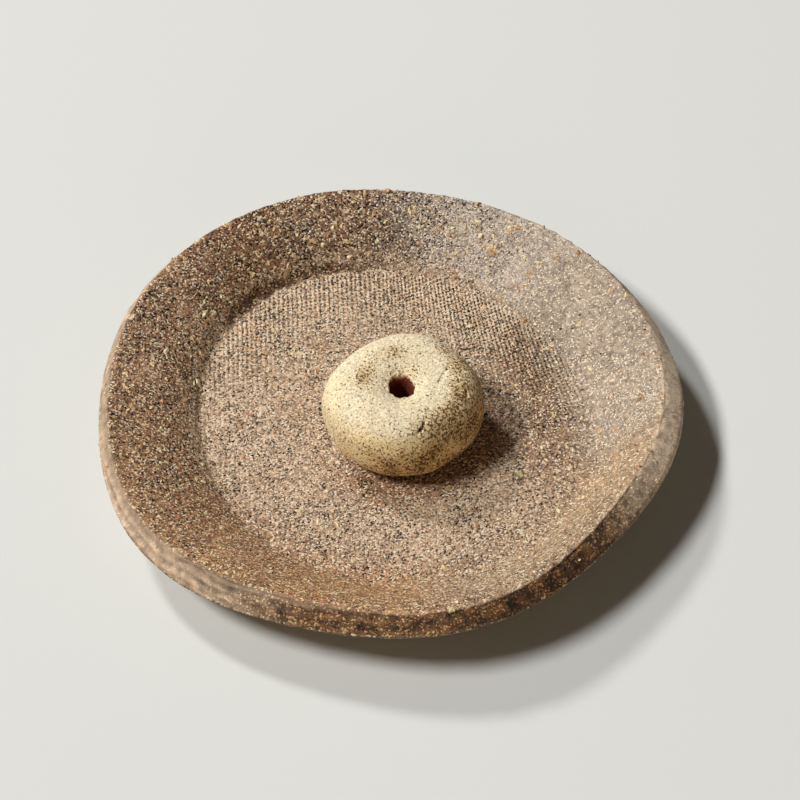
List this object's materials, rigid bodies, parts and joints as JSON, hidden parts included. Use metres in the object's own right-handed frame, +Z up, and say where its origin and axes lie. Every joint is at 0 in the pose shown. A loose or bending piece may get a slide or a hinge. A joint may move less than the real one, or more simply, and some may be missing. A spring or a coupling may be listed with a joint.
{
  "type": "incense dish",
  "caption": "Shallow hand-pressed stoneware dish with a cloth-textured floor and a loose clay pebble on it that holds an upright incense stick.",
  "frame": {"origin": "on the table, in the middle of the dish's flat underside", "axes": "+Z up, through the middle of the dish; -Y towards the viewer of the picture, +X to the viewer's right"},
  "size_m": [0.1069, 0.1073, 0.0195],
  "materials": {
    "brown_stoneware": "unglazed brown stoneware with pale grog, dry and matte",
    "buff_clay": "unglazed pale buff clay, dry and matte, slightly dirty"
  },
  "bodies": {
    "dish": {"dish": "brown_stoneware"},
    "holder": {"stick_holder": "buff_clay"}
  },
  "joints": [
    {"name": "holder_lift", "type": "slide", "parent": "dish", "child": "holder", "axis": [0, 0, 1], "range_m": [0, 0.04]}
  ]
}
